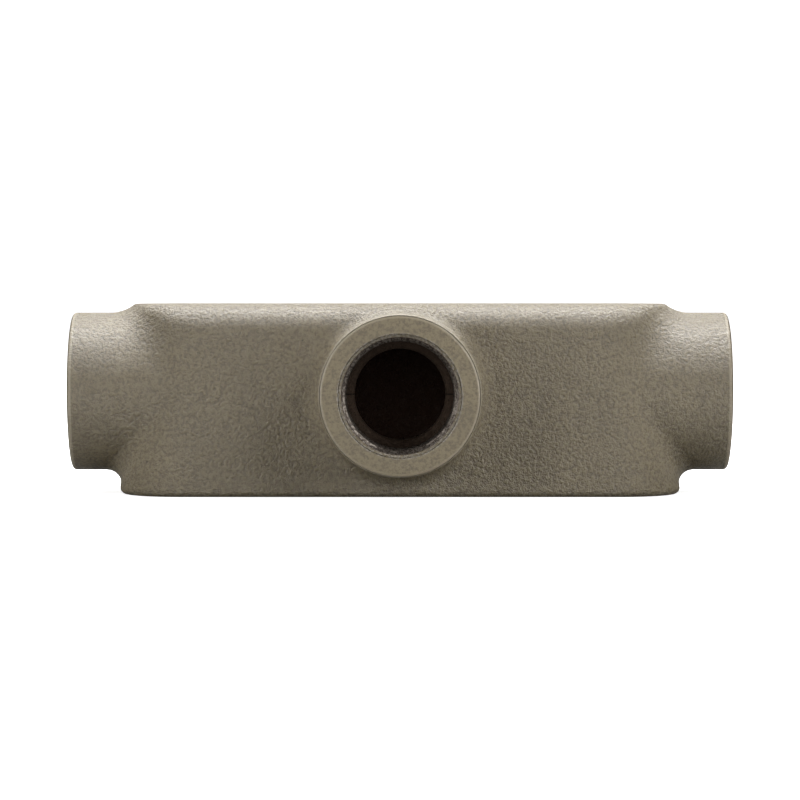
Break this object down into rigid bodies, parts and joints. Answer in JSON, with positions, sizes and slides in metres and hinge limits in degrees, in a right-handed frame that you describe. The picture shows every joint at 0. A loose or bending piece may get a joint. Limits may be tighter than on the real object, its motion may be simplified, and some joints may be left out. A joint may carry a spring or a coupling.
{
  "type": "conduit body",
  "caption": "Cast-iron conduit body in a T shape: a threaded hub at each end and one on the side, closed back, open cover side with tapped screw lugs.",
  "frame": {"origin": "centre of the cover opening, on the rim plane that the cover seats on", "axes": "+X along the two end hubs, -Y out of the side hub, +Z from the rim plane up to the closed back"},
  "size_m": [0.1536, 0.0564, 0.0443],
  "materials": {
    "casting": "khaki-grey paint over rough sand-cast iron, smoother on the hub faces"
  },
  "bodies": {
    "root": {"conduit_body": "casting"}
  },
  "joints": []
}
